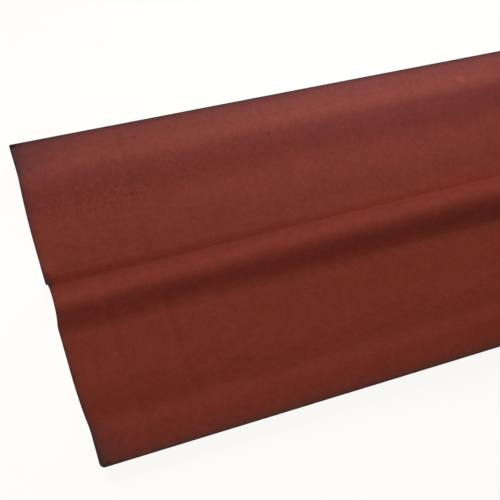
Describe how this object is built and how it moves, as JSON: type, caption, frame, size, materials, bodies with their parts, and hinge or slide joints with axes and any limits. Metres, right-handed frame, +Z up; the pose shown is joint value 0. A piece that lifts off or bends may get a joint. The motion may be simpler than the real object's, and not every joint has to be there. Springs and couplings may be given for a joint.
{
  "type": "ridge tile",
  "caption": "Pressed bitumen-fibre ridge tile: a straight sheet with a half-round bead along its middle, flat wings and a raised strip along each long edge.",
  "frame": {"origin": "centre of the tile in plan, on the level floor under the wings", "axes": "+X along the ridge, +Y across it towards the edge with the crisp corners, +Z up out of the weather side"},
  "size_m": [1, 0.485, 0.04],
  "materials": {
    "bitumen_board": "matte"
  },
  "bodies": {
    "root": {"ridge_tile": "bitumen_board"}
  },
  "joints": []
}
